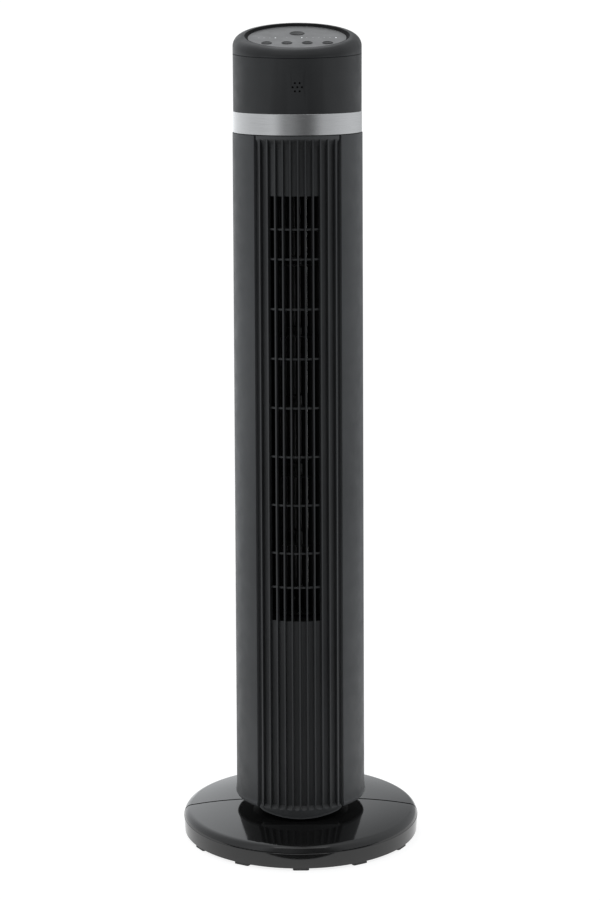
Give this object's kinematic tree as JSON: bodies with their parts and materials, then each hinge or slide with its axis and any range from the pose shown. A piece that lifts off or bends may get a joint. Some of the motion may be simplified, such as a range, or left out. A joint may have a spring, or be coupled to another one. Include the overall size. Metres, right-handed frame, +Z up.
{
  "type": "oscillating tower fan",
  "caption": "Slim round tower fan with a ribbed air outlet, slanted control head, silver ring and wide two-part round base; oscillates.",
  "frame": {"origin": "floor level in the middle of the round base", "axes": "+Z up along the column, -Y out of the air outlet, +X to the viewer's right when facing the outlet"},
  "size_m": [0.2992, 0.2992, 1.0167],
  "materials": {
    "gloss_black": "glossy moulded black",
    "foot_rubber": "matt",
    "charcoal": "satin, fine spark texture",
    "grille_black": "satin",
    "head_black": "satin, fine spark texture",
    "inner_black": "plain moulded",
    "acetal_white": "plain moulded",
    "silver": "brushed round the ring",
    "panel_grey": "satin",
    "key_grey": "semi-gloss",
    "lens": "clear moulded",
    "steel": "machined",
    "zinc": "zinc plated",
    "copper": "enamelled wire",
    "bronze": "sintered",
    "board_green": "solder mask",
    "capacitor_grey": "moulded case"
  },
  "bodies": {
    "base": {"base_front_half": "gloss_black", "base_rear_half": "gloss_black", "front_feet": "foot_rubber", "rear_feet": "foot_rubber", "pivot_hub": "inner_black", "lock_nut": "inner_black", "base_screws": "zinc", "thrust_washer": "acetal_white", "oscillation_gear": "acetal_white"},
    "column": {"oscillation_motor": "zinc", "bottom_cap": "gloss_black", "front_grille": "grille_black", "rear_casing": "charcoal", "intake_grille": "charcoal", "lower_bulkhead": "inner_black", "motor_plate": "inner_black", "duct_floor": "inner_black", "bearing_plate": "inner_black", "neck_plate": "inner_black", "casing_screws": "zinc", "cord_gland": "foot_rubber", "scroll_wall": "inner_black", "tongue_wall": "inner_black", "top_bearing": "foot_rubber", "motor_lower_shell": "zinc", "motor_upper_shell": "zinc", "motor_bearings": "bronze", "motor_stator": "steel", "motor_windings": "copper", "motor_dampers": "foot_rubber", "motor_screws": "zinc", "run_capacitor": "capacitor_grey", "trim_ring": "silver", "head_shell": "head_black", "head_cap": "head_black", "head_screws": "zinc", "buzzer": "inner_black", "control_panel": "panel_grey", "indicator_lenses": "lens", "control_board": "board_green", "tact_switches": "inner_black", "board_screws": "zinc", "wiring_loom": "foot_rubber"},
    "wheel": {"impeller": "inner_black", "wheel_pin": "steel", "motor_rotor": "steel", "motor_shaft": "steel"},
    "pinion": {"oscillation_pinion": "acetal_white"},
    "power_key": {"button_power": "key_grey"},
    "timer_key": {"button_timer": "key_grey"},
    "mode_key": {"button_mode": "key_grey"},
    "speed_key": {"button_speed": "key_grey"},
    "swing_key": {"button_swing": "key_grey"}
  },
  "joints": [
    {"name": "oscillation", "type": "hinge", "parent": "base", "child": "column", "pos_m": [0, 0, 0.045], "axis": [0, 0, 1], "range_deg": [-40, 40]},
    {"name": "wheel_spin", "type": "hinge", "parent": "column", "child": "wheel", "pos_m": [0.004, 0.006, 0.294], "axis": [0, 0, 1], "continuous": true},
    {"name": "pinion_spin", "type": "hinge", "parent": "column", "child": "pinion", "pos_m": [0, 0.03972, 0.0502], "axis": [0, 0, 1], "range_deg": [-205, 205]},
    {"name": "power_press", "type": "slide", "parent": "column", "child": "power_key", "axis": [0, 0.2079, -0.9781], "range_m": [0, 0.0007], "stiffness_N_per_m": 900, "springref_m": -0.0012},
    {"name": "timer_press", "type": "slide", "parent": "column", "child": "timer_key", "axis": [0, 0.2079, -0.9781], "range_m": [0, 0.0007], "stiffness_N_per_m": 900, "springref_m": -0.0012},
    {"name": "mode_press", "type": "slide", "parent": "column", "child": "mode_key", "axis": [0, 0.2079, -0.9781], "range_m": [0, 0.0007], "stiffness_N_per_m": 900, "springref_m": -0.0012},
    {"name": "speed_press", "type": "slide", "parent": "column", "child": "speed_key", "axis": [0, 0.2079, -0.9781], "range_m": [0, 0.0007], "stiffness_N_per_m": 900, "springref_m": -0.0012},
    {"name": "swing_press", "type": "slide", "parent": "column", "child": "swing_key", "axis": [0, 0.2079, -0.9781], "range_m": [0, 0.0007], "stiffness_N_per_m": 900, "springref_m": -0.0012}
  ],
  "couplings": [
    {"joint": "pinion_spin", "follows": "oscillation", "ratio": 5}
  ]
}
